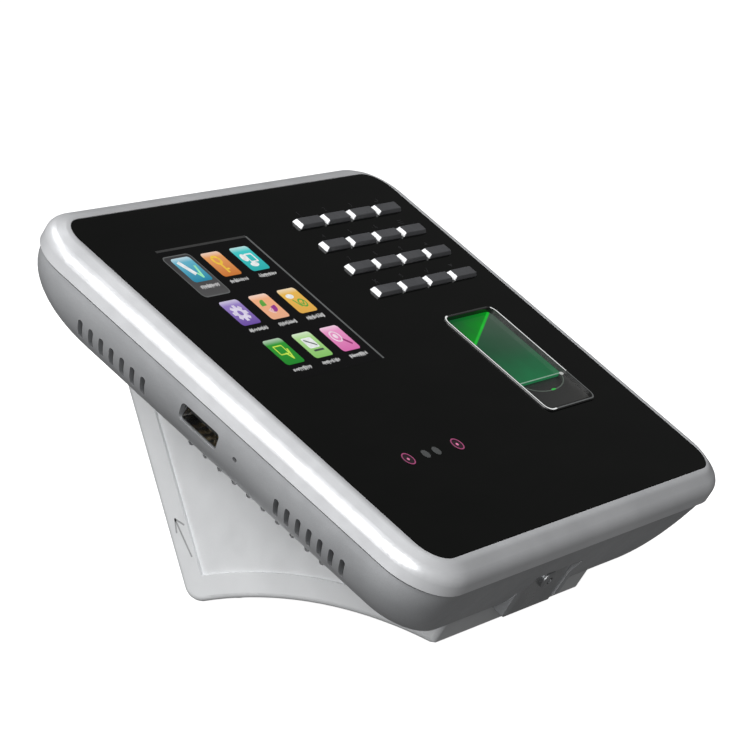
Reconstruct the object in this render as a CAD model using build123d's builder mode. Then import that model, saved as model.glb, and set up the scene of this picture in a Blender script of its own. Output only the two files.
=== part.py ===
from build123d import *
import os
from math import cos, radians, sin

# Fingerprint terminal on its desk stand, in millimetres.
# Every piece of the terminal is placed from its front face: x runs to the right across the face,
# y runs up the face and z comes straight out of it. The face leans back, and the stand is drawn
# upright, with z = 0 where its feet touch the desk.

# ---- driving dimensions -------------------------------------------------------------------
FACE_TILT = 32.5            # slope of the face from level, degrees
FACE_FORWARD = -4.37        # middle of the face ahead of the middle of the whole object

CASE_WIDTH = 167.5
CASE_HEIGHT = 148.8
CASE_DEPTH = 32.2
CASE_CORNER = 16.0
WALL = 2.0
GAP = 0.05                  # clearance round a fitted part, per side

PANEL_WIDTH = 155.5
PANEL_HEIGHT = 136.8
PANEL_CORNER = 8.0
PANEL_THICK = 2.0

BEZEL_DEPTH = 7.7
SHOULDER_WIDTH = 4.4
SHOULDER_DEPTH = 2.6
LEDGE_WIDTH = 2.5
LEDGE_DEPTH = 4.05
BEZEL_WALL = 2.6

COVER_TOP = -8.5            # front edge of the rear cover, below the shadow gap
COVER_INSET = 1.0           # how far the rear cover stands in from the bezel
COVER_ROUND = CASE_DEPTH + COVER_TOP
COVER_SWEEP = 38.0          # how far the sides, top and corners sweep in towards the back
COVER_CORNER = 15.0
BOTTOM_DRAFT = 0.2
BOTTOM_TUCK = 4.2
SEAM_TONGUE = 1.4

KEY_WIDTH = 12.6
KEY_HEIGHT = 3.8
KEY_TOP_WIDTH = 11.0
KEY_TOP_HEIGHT = 3.0
KEY_SKIRT = 0.2             # straight part of the cap above the panel
KEY_RISE = 1.25
KEY_COLUMNS = (20.8, 34.7, 48.6, 62.5)
KEY_ROWS = (52.3, 42.0, 31.8, 21.5)
KEY_NAMES = (
    ("1", "2", "3", "back"),
    ("4", "5", "6", "menu"),
    ("7", "8", "9", "up"),
    ("clear", "0", "enter", "down"),
)
KEYPAD_X = sum(KEY_COLUMNS) / 4
KEYPAD_Y = sum(KEY_ROWS) / 4

DISPLAY_X = -33.35
DISPLAY_Y = 25.05
DISPLAY_WIDTH = 43.0
DISPLAY_HEIGHT = 53.5

SENSOR_X = 44.45
SENSOR_Y = -13.6
SENSOR_WIDTH = 28.3
SENSOR_HEIGHT = 42.2
SENSOR_CORNER = 3.0
SENSOR_RIM = 1.0
PRISM_LOW_EDGE = -22.0      # where the glass ends and the finger rest begins
SCOOP_HALF_WIDTH = 11.8
SCOOP_REACH = 5.2

LIGHT_X = (-46.8, -21.9)
LENS_X = (-37.9, -32.5)
WINDOW_ROW_Y = -35.8
RING_DIAMETER = 4.4
LENS_DIAMETER = 3.0

BOARD_TOP = -17.8
BOARD_THICK = 1.6
BOARD_WIDTH = 108.0
BOARD_HEIGHT = 100.0

VENT_STARTS = (47.2, -25.0) # uppermost slot of each group of side vents
VENT_COUNT = 7
VENT_PITCH = 3.9
VENT_WIDTH = 1.7
VENT_LENGTH = 6.4
VENT_Z = -18.5

USB_Y = 3.6
USB_Z = -14.9
USB_WIDTH = 13.2
USB_HEIGHT = 5.2
USB_LENGTH = 13.5
USB_SKIN = 0.35
RESET_Y = -9.6
RESET_Z = -15.0

CASE_SCREWS = [(-60.0, 62.0), (60.0, 62.0), (-60.0, -57.0), (60.0, -57.0)]
CASE_SCREW_SEAT = -17.5
POST_LENGTH = 5.0           # how far the chassis posts reach back
BOARD_SCREW_X = 46.0
BOARD_SCREW_Y = 44.0
SECURITY_SCREW_Z = -23.0

STAND_WIDTH = 80.0
STAND_WALL = 2.4
STAND_FRONT = -66.3         # front wall of the stand, up the face
STAND_TOP = -32.4
FRONT_FOOT_Z = -38.7        # where the front wall meets the desk
STAND_FOOT_LENGTH = 77.1    # front to rear along the desk
STAND_REAR_LEAN = 20.4      # rear wall from upright, degrees
STAND_REAR_ROUND = 5.0
STAND_EDGE_ROUND = 1.6
FOOT_LIFT = 0.4             # walls clear of the desk
ARCH_RISE = 5.0
ARCH_START = 1.6
ARCH_LENGTH = 71.0
RECESS_MARGIN = 7.0
RECESS_DEPTH = 1.0
SLOT_COUNT = 10
SLOT_PITCH = 5.55
SLOT_FIRST = 21.9
SLOT_WIDTH = 2.0
SLOT_LOW = -44.5
SLOT_HIGH = -37.5

PLATE_THICK = 1.5
TAB_WIDTH = 25.0
TAB_THICK = 1.2
TAB_Y = -69.5               # outer face of the folded tab
TAB_HIGH = -18.6

# ---- places ------------------------------------------------------------------------------
LEAN = radians(FACE_TILT)
REAR_LEAN = radians(STAND_REAR_LEAN)
FACE_HEIGHT = FOOT_LIFT - STAND_FRONT * sin(LEAN) - FRONT_FOOT_Z * cos(LEAN)
FACE = Plane(
    origin=(0, FACE_FORWARD, FACE_HEIGHT), x_dir=(1, 0, 0), z_dir=(0, -sin(LEAN), cos(LEAN))
)
SIDE = Plane(origin=FACE.origin, x_dir=FACE.y_dir, z_dir=FACE.x_dir)
BOTTOM = Plane(origin=FACE.origin, x_dir=FACE.x_dir, z_dir=-FACE.y_dir)
OUT = Axis(FACE.origin, FACE.z_dir)
BACK = -CASE_DEPTH
INSIDE_BACK = BACK + WALL
CHASSIS_TOP = -LEDGE_DEPTH - GAP
CHASSIS_LOW = CHASSIS_TOP - 1.5
BOARD_LOW = BOARD_TOP - BOARD_THICK
PLATE_LOW = STAND_TOP - PLATE_THICK
CHASSIS_SCREWS = [(x, y) for x in (-77.6, 77.6) for y in (-30.0, 0.0, 30.0)]


def on_face(z, x=0.0, y=0.0):
    """The plane parallel to the face at height z, centred on (x, y)."""
    return Plane(
        origin=FACE.from_local_coords(Vector(x, y, z)), x_dir=FACE.x_dir, z_dir=FACE.z_dir
    )


def on_side(x, y=0.0, z=0.0):
    """The plane across the terminal at x, whose own axes are up the face and out of it."""
    return Plane(
        origin=FACE.from_local_coords(Vector(x, y, z)), x_dir=FACE.y_dir, z_dir=FACE.x_dir
    )


def on_bottom(y, x=0.0, z=0.0):
    """The plane at height y up the face, looking down the face."""
    return Plane(
        origin=FACE.from_local_coords(Vector(x, y, z)), x_dir=FACE.x_dir, z_dir=-FACE.y_dir
    )


def upright(y, z):
    """A point of the terminal's side view, as the stand's side view (back, up)."""
    point = FACE.from_local_coords(Vector(0, y, z))
    return (point.Y, point.Z)


def save(piece, name):
    """Label one finished piece and write its file."""
    piece.part.label = name
    export_step(piece.part, f"parts/{name}.step")


def block(name, top, low, x, y, width, height, corner):
    """A plain block with rounded corners, between two heights."""
    with BuildPart() as piece:
        with BuildSketch(on_face(low, x, y)):
            RectangleRounded(width, height, corner)
        extrude(amount=top - low)
    save(piece, name)


def disc(name, top, low, x, y, diameter, bore=0.0):
    """A round piece between two heights, with a bore if it has one."""
    with BuildPart() as piece:
        with BuildSketch(on_face(low, x, y)):
            Circle(diameter / 2)
            if bore:
                Circle(bore / 2, mode=Mode.SUBTRACT)
        extrude(amount=top - low)
    save(piece, name)


def corners(x, y):
    """Four places, mirrored about the middle."""
    return [(x, y), (-x, y), (x, -y), (-x, -y)]


# ---- front case --------------------------------------------------------------------------
def front_bezel():
    """Silver frame with a rounded shoulder and a ledge that carries the black panel."""
    with BuildPart() as piece:
        with BuildSketch(on_face(-BEZEL_DEPTH)):
            RectangleRounded(CASE_WIDTH, CASE_HEIGHT, CASE_CORNER)
        extrude(amount=BEZEL_DEPTH - SHOULDER_DEPTH)
        with BuildSketch(on_face(-SHOULDER_DEPTH)):
            RectangleRounded(CASE_WIDTH, CASE_HEIGHT, CASE_CORNER)
        with BuildSketch(on_face(0)):
            RectangleRounded(
                CASE_WIDTH - 2 * SHOULDER_WIDTH,
                CASE_HEIGHT - 2 * SHOULDER_WIDTH,
                CASE_CORNER - SHOULDER_WIDTH,
            )
        loft()
        shoulder = piece.edges().filter_by_position(
            OUT, -SHOULDER_DEPTH - 0.01, -SHOULDER_DEPTH + 0.01
        )
        fillet(shoulder, radius=3.6)
        brow = piece.edges().filter_by_position(OUT, -0.01, 0.01)
        fillet(brow, radius=2.4)
        with BuildSketch(on_face(0)):
            RectangleRounded(PANEL_WIDTH + 2 * GAP, PANEL_HEIGHT + 2 * GAP, PANEL_CORNER + GAP)
        extrude(amount=-PANEL_THICK - GAP, mode=Mode.SUBTRACT)
        with BuildSketch(on_face(0)):
            RectangleRounded(
                PANEL_WIDTH - 2 * LEDGE_WIDTH,
                PANEL_HEIGHT - 2 * LEDGE_WIDTH,
                PANEL_CORNER - LEDGE_WIDTH,
            )
        extrude(amount=-BEZEL_DEPTH, mode=Mode.SUBTRACT)
        with BuildSketch(on_face(-BEZEL_DEPTH)):
            RectangleRounded(
                CASE_WIDTH - 2 * BEZEL_WALL,
                CASE_HEIGHT - 2 * BEZEL_WALL,
                CASE_CORNER - BEZEL_WALL,
            )
        extrude(amount=BEZEL_DEPTH - LEDGE_DEPTH, mode=Mode.SUBTRACT)
        with BuildSketch(on_face(-LEDGE_DEPTH)):
            with Locations(*CHASSIS_SCREWS):
                Circle(1.0)
        extrude(amount=1.7, mode=Mode.SUBTRACT)
    save(piece, "front_bezel")


def front_panel():
    """Glossy black sheet, cut for the keys, the display, the sensor and the small windows."""
    with BuildPart() as piece:
        with BuildSketch(on_face(-PANEL_THICK)):
            RectangleRounded(PANEL_WIDTH, PANEL_HEIGHT, PANEL_CORNER)
        extrude(amount=PANEL_THICK)
        fillet(piece.faces().sort_by(OUT)[-1].edges(), radius=0.3)
        with BuildSketch(on_face(0)):
            with Locations(*[(x, y) for x in KEY_COLUMNS for y in KEY_ROWS]):
                RectangleRounded(KEY_WIDTH + 0.2, KEY_HEIGHT + 0.2, 0.6)
            with Locations((DISPLAY_X, DISPLAY_Y)):
                RectangleRounded(DISPLAY_WIDTH + 2 * GAP, DISPLAY_HEIGHT + 2 * GAP, 1.0)
            with Locations((SENSOR_X, SENSOR_Y)):
                RectangleRounded(
                    SENSOR_WIDTH + 2 * GAP, SENSOR_HEIGHT + 2 * GAP, SENSOR_CORNER + GAP
                )
            with Locations(*[(x, WINDOW_ROW_Y) for x in LIGHT_X]):
                Circle(RING_DIAMETER / 2 + GAP)
            with Locations(*[(x, WINDOW_ROW_Y) for x in LENS_X]):
                Circle(LENS_DIAMETER / 2 + GAP)
        extrude(amount=-PANEL_THICK, mode=Mode.SUBTRACT)
    save(piece, "front_panel")


def front_chassis():
    """Inner carrier behind the panel, with a window for each module and four screw posts."""
    with BuildPart() as piece:
        with BuildSketch(on_face(CHASSIS_LOW)):
            RectangleRounded(160.4, 141.7, 12.5)
            with Locations((DISPLAY_X, DISPLAY_Y)):
                Rectangle(47.4, 57.4, mode=Mode.SUBTRACT)
            with Locations((KEYPAD_X, KEYPAD_Y)):
                Rectangle(58.0, 37.0, mode=Mode.SUBTRACT)
            with Locations((SENSOR_X, SENSOR_Y)):
                Rectangle(33.4, 47.4, mode=Mode.SUBTRACT)
            with Locations((sum(LENS_X) / 2, WINDOW_ROW_Y)):
                Rectangle(34.4, 10.4, mode=Mode.SUBTRACT)
            with Locations(*CHASSIS_SCREWS):
                Circle(1.1, mode=Mode.SUBTRACT)
        extrude(amount=CHASSIS_TOP - CHASSIS_LOW)
        with BuildSketch(on_face(CHASSIS_LOW)):
            with Locations(*CASE_SCREWS):
                Circle(3.5)
        extrude(amount=-POST_LENGTH)
        with BuildSketch(on_face(CHASSIS_LOW)):
            with Locations(*CASE_SCREWS):
                Circle(1.55)
        extrude(amount=-POST_LENGTH, mode=Mode.SUBTRACT)
    save(piece, "front_chassis")


# ---- keypad and display ------------------------------------------------------------------
def key(name, x, y):
    """One bar key: a bevelled cap through the panel, on a flange that keeps it from falling out."""
    with BuildPart() as piece:
        with BuildSketch(on_face(-3.0, x, y)):
            RectangleRounded(KEY_WIDTH + 0.5, KEY_HEIGHT + 1.6, 0.5)
        extrude(amount=0.9)
        with BuildSketch(on_face(-2.2, x, y)):
            RectangleRounded(KEY_WIDTH, KEY_HEIGHT, 0.5)
        extrude(amount=2.2 + KEY_SKIRT)
        with BuildSketch(on_face(KEY_SKIRT, x, y)):
            RectangleRounded(KEY_WIDTH, KEY_HEIGHT, 0.5)
        with BuildSketch(on_face(KEY_RISE, x, y)):
            RectangleRounded(KEY_TOP_WIDTH, KEY_TOP_HEIGHT, 0.4)
        loft()
        fillet(piece.faces().sort_by(OUT)[-1].edges(), radius=0.25)
    save(piece, f"key_{name}")


def keypad_membrane():
    """Rubber mat with one soft dome under each key, clear of the key's full travel."""
    with BuildPart() as piece:
        with BuildSketch(on_face(CHASSIS_LOW, KEYPAD_X, KEYPAD_Y)):
            Rectangle(57.4, 36.4)
        extrude(amount=1.2)
        with BuildSketch(on_face(CHASSIS_LOW + 1.2)):
            with Locations(*[(x, y) for x in KEY_COLUMNS for y in KEY_ROWS]):
                Circle(1.8)
        extrude(amount=0.4)
    save(piece, "keypad_membrane")


def lcd_frame():
    """Steel tray behind the display, with its rim folded up round the module."""
    with BuildPart() as piece:
        with BuildSketch(on_face(CHASSIS_LOW - 2.0, DISPLAY_X, DISPLAY_Y)):
            RectangleRounded(52.0, 62.0, 1.0)
        extrude(amount=1.95)
        with BuildSketch(on_face(CHASSIS_LOW - 1.5, DISPLAY_X, DISPLAY_Y)):
            RectangleRounded(48.0, 58.0, 1.0)
        extrude(amount=2.0, mode=Mode.SUBTRACT)
    save(piece, "lcd_frame")


# ---- fingerprint sensor ------------------------------------------------------------------
def sensor_frame():
    """Bright rim of the fingerprint window, on a flange behind the panel."""
    with BuildPart() as piece:
        with BuildSketch(on_face(-3.2, SENSOR_X, SENSOR_Y)):
            RectangleRounded(SENSOR_WIDTH + 3, SENSOR_HEIGHT + 3, SENSOR_CORNER)
        extrude(amount=1.15)
        with BuildSketch(on_face(-2.1, SENSOR_X, SENSOR_Y)):
            RectangleRounded(SENSOR_WIDTH, SENSOR_HEIGHT, SENSOR_CORNER)
        extrude(amount=2.6)
        fillet(piece.faces().sort_by(OUT)[-1].edges(), radius=0.35)
        with BuildSketch(on_face(0.6, SENSOR_X, SENSOR_Y)):
            RectangleRounded(
                SENSOR_WIDTH - 2 * SENSOR_RIM,
                SENSOR_HEIGHT - 2 * SENSOR_RIM,
                SENSOR_CORNER - SENSOR_RIM,
            )
        extrude(amount=-4.0, mode=Mode.SUBTRACT)
    save(piece, "sensor_frame")


SENSOR_TOP = SENSOR_Y + SENSOR_HEIGHT / 2 - SENSOR_RIM - GAP
SENSOR_LOW = SENSOR_Y - SENSOR_HEIGHT / 2 + SENSOR_RIM + GAP
SENSOR_INNER = SENSOR_WIDTH - 2 * SENSOR_RIM - 2 * GAP
SENSOR_INNER_CORNER = SENSOR_CORNER - SENSOR_RIM


def sensor_prism():
    """Glass prism that the finger presses on, with its sloped mirror face underneath."""
    with BuildPart() as piece:
        with BuildSketch(on_side(SENSOR_X - SENSOR_INNER / 2)):
            with BuildLine():
                Polyline(
                    (SENSOR_TOP, -0.9),
                    (PRISM_LOW_EDGE, -0.9),
                    (PRISM_LOW_EDGE, -4.5),
                    (SENSOR_TOP, -12.5),
                    close=True,
                )
            make_face()
        extrude(amount=SENSOR_INNER)
        ends = piece.edges().filter_by(OUT).sort_by(Axis(FACE.origin, FACE.y_dir))[-2:]
        fillet(ends, radius=SENSOR_INNER_CORNER)
    save(piece, "sensor_prism")


def finger_rest():
    """Grey rest below the glass, with a shallow half-oval scoop at the glass edge."""
    height = PRISM_LOW_EDGE - GAP - SENSOR_LOW
    with BuildPart() as piece:
        with BuildSketch(on_face(-3.2, SENSOR_X, SENSOR_LOW + height / 2)):
            Rectangle(SENSOR_INNER, height)
        extrude(amount=2.7)
        ends = piece.edges().filter_by(OUT).sort_by(Axis(FACE.origin, FACE.y_dir))[:2]
        fillet(ends, radius=SENSOR_INNER_CORNER)
        with BuildSketch(on_face(-0.4, SENSOR_X, PRISM_LOW_EDGE)):
            Ellipse(SCOOP_HALF_WIDTH, SCOOP_REACH)
        extrude(amount=-1.3, mode=Mode.SUBTRACT)
    save(piece, "finger_rest")


def sensor_housing():
    """Black box that holds the prism and the imager below it."""
    with BuildPart() as piece:
        with BuildSketch(on_face(-15.0, SENSOR_X, SENSOR_Y)):
            Rectangle(33.0, 47.0)
        extrude(amount=11.75)
        with BuildSketch(on_face(-3.25, SENSOR_X, SENSOR_Y)):
            Rectangle(29.0, 43.0)
        extrude(amount=-10.25, mode=Mode.SUBTRACT)
    save(piece, "sensor_housing")


# ---- rear case ---------------------------------------------------------------------------
COVER_TURNS = (0, 15, 30, 45, 60, 75, 90)


def cover_section(turn, wall):
    """One rounded outline of the rear cover, part of the way round its swept sides."""
    angle = radians(turn)
    reach = COVER_ROUND - wall
    drop = reach * sin(angle)
    pull = (COVER_SWEEP - wall) * (1 - cos(angle)) + wall
    low_pull = BOTTOM_DRAFT * drop + BOTTOM_TUCK * (1 - cos(angle)) ** 2 + wall
    width = CASE_WIDTH - 2 * COVER_INSET - 2 * pull
    top = CASE_HEIGHT / 2 - COVER_INSET - pull
    low = -CASE_HEIGHT / 2 + COVER_INSET + low_pull
    corner = COVER_CORNER - wall - 5 * (1 - cos(angle))
    with BuildSketch(on_face(COVER_TOP - drop, 0, (top + low) / 2)) as outline:
        RectangleRounded(width, top - low, corner)
    return outline.sketch


def case_posts(outside):
    """Posts for the case screws, from the chassis posts to the curved wall."""
    with BuildSketch(on_face(BACK)) as outline:
        with Locations(*CASE_SCREWS):
            Circle(3.6)
    length = CHASSIS_LOW - POST_LENGTH - GAP - BACK
    return extrude(outline.sketch, amount=length, mode=Mode.PRIVATE) & outside


def side_vents(x, length):
    """Both groups of side slots, as one tool that runs from x into the case."""
    starts = [start - VENT_PITCH * step for start in VENT_STARTS for step in range(VENT_COUNT)]
    with BuildSketch(on_side(x)) as slots:
        with Locations(*[(start, VENT_Z) for start in starts]):
            SlotOverall(VENT_LENGTH, VENT_WIDTH, rotation=90)
    extrude(slots.sketch, amount=length, mode=Mode.SUBTRACT)


def rear_cover():
    """Deep rear shell with swept sides, vents, the USB mouth and the mounting slots."""
    with BuildPart() as piece:
        loft([cover_section(turn, 0) for turn in COVER_TURNS])
        outside = piece.part
        loft([cover_section(turn, WALL) for turn in COVER_TURNS], mode=Mode.SUBTRACT)
        # tongue that hides the shadow gap
        with BuildSketch(on_face(COVER_TOP - 2.0)):
            RectangleRounded(
                CASE_WIDTH - 2 * BEZEL_WALL - 0.2,
                CASE_HEIGHT - 2 * BEZEL_WALL - 0.2,
                CASE_CORNER - BEZEL_WALL,
            )
            RectangleRounded(
                CASE_WIDTH - 2 * BEZEL_WALL - 2 * SEAM_TONGUE,
                CASE_HEIGHT - 2 * BEZEL_WALL - 2 * SEAM_TONGUE,
                CASE_CORNER - BEZEL_WALL - SEAM_TONGUE,
                mode=Mode.SUBTRACT,
            )
        extrude(amount=4.3)
        # posts for the case screws and the board screws
        add(case_posts(outside))
        with BuildSketch(on_face(INSIDE_BACK - 0.5)):
            with Locations(*corners(BOARD_SCREW_X, BOARD_SCREW_Y)):
                Circle(3.0)
        extrude(amount=BOARD_LOW - GAP - INSIDE_BACK + 0.5)
        with BuildSketch(on_face(BACK)):
            with Locations(*CASE_SCREWS):
                Circle(1.7)
        extrude(amount=CASE_DEPTH, mode=Mode.SUBTRACT)
        with BuildSketch(on_face(BACK)):
            with Locations(*CASE_SCREWS):
                Circle(3.0)
        extrude(amount=CASE_SCREW_SEAT - BACK, mode=Mode.SUBTRACT)
        with BuildSketch(on_face(INSIDE_BACK)):
            with Locations(*corners(BOARD_SCREW_X, BOARD_SCREW_Y)):
                Circle(1.25)
        extrude(amount=12.0, mode=Mode.SUBTRACT)
        # seat for the folded tab and its security screw
        with BuildSketch(on_face(BACK, 0, -67.8)):
            Rectangle(TAB_WIDTH + 6, 4.4)
        extrude(amount=16.0)
        with BuildSketch(on_bottom(-66.0, 0, SECURITY_SCREW_Z)):
            Circle(4.0)
        extrude(amount=-7.0)
        with BuildSketch(on_face(BACK - 1, 0, TAB_Y - 8 + TAB_THICK + 0.1)):
            Rectangle(TAB_WIDTH + 0.6, 16.0)
        extrude(amount=TAB_HIGH + 0.4 - BACK + 1, mode=Mode.SUBTRACT)
        with BuildSketch(on_bottom(-72.0, 0, SECURITY_SCREW_Z)):
            Circle(1.5)
        extrude(amount=-12.4, mode=Mode.SUBTRACT)
        # cable opening, hook slots and the tamper plunger's bore
        with BuildSketch(on_face(BACK, 0, CONNECTOR_Y)):
            RectangleRounded(66.0, 20.0, 2.0)
            with Locations(*[(x, y - HOOK_SLOT_SHIFT - CONNECTOR_Y) for x, y in HOOKS]):
                Rectangle(9.0, 6.0)
            with Locations((TAMPER_X, TAMPER_Y - CONNECTOR_Y)):
                Circle(2.05)
        extrude(amount=WALL + 0.5, mode=Mode.SUBTRACT)
        # side vents, USB mouth and reset pinhole
        side_vents(-CASE_WIDTH / 2, 14.0)
        side_vents(CASE_WIDTH / 2 - 14.0, 14.0)
        with BuildSketch(on_side(-CASE_WIDTH / 2, USB_Y, USB_Z)):
            RectangleRounded(USB_WIDTH + 0.4, USB_HEIGHT + 0.4, 1.2)
        extrude(amount=10.0, mode=Mode.SUBTRACT)
        with BuildSketch(on_side(-CASE_WIDTH / 2, RESET_Y, RESET_Z)):
            Circle(0.75)
        extrude(amount=8.0, mode=Mode.SUBTRACT)
    save(piece, "rear_cover")


CONNECTOR_Y = -14.0
HOOKS = ((-26.0, 28.0), (26.0, 28.0), (-26.0, -40.0), (26.0, -40.0))
HOOK_SLOT_SHIFT = 1.9       # the slots sit lower, so the hooks turn over the wall above them
TAMPER_X = 0.0
TAMPER_Y = 30.0


# ---- electronics -------------------------------------------------------------------------
def main_board():
    """Circuit board with a tab towards the left side for the USB socket."""
    with BuildPart() as piece:
        with BuildSketch(on_face(BOARD_LOW)):
            RectangleRounded(BOARD_WIDTH, BOARD_HEIGHT, 2.0)
            with Locations((-BOARD_WIDTH / 2 - 8, 0)):
                Rectangle(26.0, 28.0)
            with Locations(*corners(BOARD_SCREW_X, BOARD_SCREW_Y)):
                Circle(1.4, mode=Mode.SUBTRACT)
        extrude(amount=BOARD_THICK)
    save(piece, "main_board")


def board_chips():
    """The processor, memory and radio module, soldered to the front of the board."""
    with BuildPart() as piece:
        with BuildSketch(on_face(BOARD_TOP)):
            with Locations((-18, 8)):
                Rectangle(20, 20)
            with Locations((8, 14)):
                Rectangle(11, 18)
            with Locations((-20, -26)):
                Rectangle(24, 16)
        extrude(amount=1.4)
    save(piece, "board_chips")


def usb_shell():
    """Folded metal shell of the USB socket, open towards the left side."""
    with BuildPart() as piece:
        with BuildSketch(on_side(USB_MOUTH, USB_Y, USB_Z)):
            RectangleRounded(USB_WIDTH, USB_HEIGHT, 0.9)
        extrude(amount=USB_LENGTH)
        with BuildSketch(on_side(USB_MOUTH, USB_Y, USB_Z)):
            RectangleRounded(USB_WIDTH - 2 * USB_SKIN, USB_HEIGHT - 2 * USB_SKIN, 0.6)
        extrude(amount=USB_LENGTH - 1.0, mode=Mode.SUBTRACT)
    save(piece, "usb_shell")


def usb_tongue():
    """Black contact tongue inside the USB shell."""
    with BuildPart() as piece:
        with BuildSketch(on_side(USB_MOUTH + 1.4, USB_Y, USB_Z + 0.7)):
            Rectangle(11.0, 1.8)
        extrude(amount=USB_LENGTH - 2.4)
    save(piece, "usb_tongue")


USB_MOUTH = -79.4


def reset_button():
    """Round reset button behind the pinhole."""
    with BuildPart() as piece:
        with BuildSketch(on_side(-75.4, RESET_Y, RESET_Z)):
            Circle(1.0)
        extrude(amount=3.4)
    save(piece, "reset_button")


def reset_switch():
    """Body of the reset switch on the board's tab."""
    with BuildPart() as piece:
        with BuildSketch(on_side(-74.0, RESET_Y, (BOARD_TOP - 12.6) / 2)):
            Rectangle(5.6, -12.6 - BOARD_TOP)
        extrude(amount=5.0)
        with BuildSketch(on_side(-74.0, RESET_Y, RESET_Z)):
            Circle(1.05)
        extrude(amount=3.0, mode=Mode.SUBTRACT)
    save(piece, "reset_switch")


def tamper_plunger():
    """Plunger that rests on the mounting plate and lifts if the terminal is pulled off."""
    with BuildPart() as piece:
        with BuildSketch(on_face(STAND_TOP + 0.25, TAMPER_X, TAMPER_Y)):
            Circle(2.0)
        extrude(amount=8.6)
        fillet(piece.faces().sort_by(OUT)[0].edges(), radius=0.6)
    save(piece, "tamper_plunger")


def tamper_switch():
    """Body of the tamper switch, on the back of the board."""
    with BuildPart() as piece:
        with BuildSketch(on_face(-25.6, TAMPER_X, TAMPER_Y)):
            Rectangle(9.0, 9.0)
        extrude(amount=25.6 + BOARD_LOW)
        with BuildSketch(on_face(-25.6, TAMPER_X, TAMPER_Y)):
            Circle(2.05)
        extrude(amount=3.6, mode=Mode.SUBTRACT)
    save(piece, "tamper_switch")


def terminal_block():
    """Row of screw terminals for the door wiring, facing the cable opening."""
    with BuildPart() as piece:
        with BuildSketch(on_face(-29.4, 12.0, CONNECTOR_Y)):
            Rectangle(36.0, 9.0)
        extrude(amount=29.4 + BOARD_LOW)
        with BuildSketch(on_face(-29.4, 12.0, CONNECTOR_Y)):
            with GridLocations(4.5, 1.0, 7, 1):
                Circle(1.5)
        extrude(amount=3.0, mode=Mode.SUBTRACT)
    save(piece, "terminal_block")


def network_jack():
    """Network socket on the back of the board."""
    with BuildPart() as piece:
        with BuildSketch(on_face(-30.0, -20.5, CONNECTOR_Y)):
            Rectangle(16.0, 14.0)
        extrude(amount=30.0 + BOARD_LOW)
        with BuildSketch(on_face(-30.0, -20.5, CONNECTOR_Y)):
            Rectangle(12.0, 8.0)
        extrude(amount=8.0, mode=Mode.SUBTRACT)
    save(piece, "network_jack")


def power_jack():
    """Round power inlet on the back of the board."""
    with BuildPart() as piece:
        with BuildSketch(on_face(-29.4, 36.5, CONNECTOR_Y)):
            Rectangle(9.0, 11.0)
        extrude(amount=29.4 + BOARD_LOW)
        with BuildSketch(on_face(-29.4, 36.5, CONNECTOR_Y)):
            Circle(3.2)
            Circle(1.0, mode=Mode.SUBTRACT)
        extrude(amount=8.0, mode=Mode.SUBTRACT)
    save(piece, "power_jack")


# ---- screws ------------------------------------------------------------------------------
def screws(name, places, head, head_diameter, head_height, diameter, length):
    """Pan-head screws with a cross recess, whose heads sit at one height.

    The head's flat underside is at height `head`, and the shank runs on towards the front
    when the length is positive and towards the back when it is negative."""
    away = -1 if length > 0 else 1
    with BuildPart() as piece:
        with BuildSketch(on_face(head)):
            with Locations(*places):
                Circle(head_diameter / 2)
        extrude(amount=away * head_height)
        with BuildSketch(on_face(head)):
            with Locations(*places):
                Circle(diameter / 2)
        extrude(amount=length)
        with BuildSketch(on_face(head + away * head_height)):
            with Locations(*places):
                Rectangle(head_diameter * 0.55, head_diameter * 0.14)
                Rectangle(head_diameter * 0.14, head_diameter * 0.55)
        extrude(amount=-away * head_height * 0.5, mode=Mode.SUBTRACT)
    save(piece, name)


def plate_screws():
    """Countersunk screws, flush in the mounting plate."""
    with BuildPart() as piece:
        with BuildSketch(on_face(STAND_TOP - 0.05)):
            with Locations(*PLATE_SCREWS):
                Circle(2.7)
        extrude(amount=-1.2, taper=45)
        with BuildSketch(on_face(STAND_TOP - 1.2)):
            with Locations(*PLATE_SCREWS):
                Circle(1.45)
        extrude(amount=-6.0)
    save(piece, "plate_screws")


PLATE_SCREWS = [(-32.0, -50.0), (32.0, -50.0), (-32.0, 36.0), (32.0, 36.0)]


def security_screw():
    """Tamper-proof screw that locks the terminal to the folded tab."""
    with BuildPart() as piece:
        with BuildSketch(on_bottom(TAB_Y, 0, SECURITY_SCREW_Z)):
            Circle(2.9)
        extrude(amount=1.3)
        fillet(piece.faces().sort_by(Axis(FACE.origin, FACE.y_dir))[0].edges(), radius=0.7)
        with BuildSketch(on_bottom(TAB_Y, 0, SECURITY_SCREW_Z)):
            Circle(1.4)
        extrude(amount=-8.0)
        with BuildSketch(on_bottom(TAB_Y - 1.3, 0, SECURITY_SCREW_Z)):
            RegularPolygon(1.2, 6)
        extrude(amount=-0.9, mode=Mode.SUBTRACT)
    save(piece, "security_screw")


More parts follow.
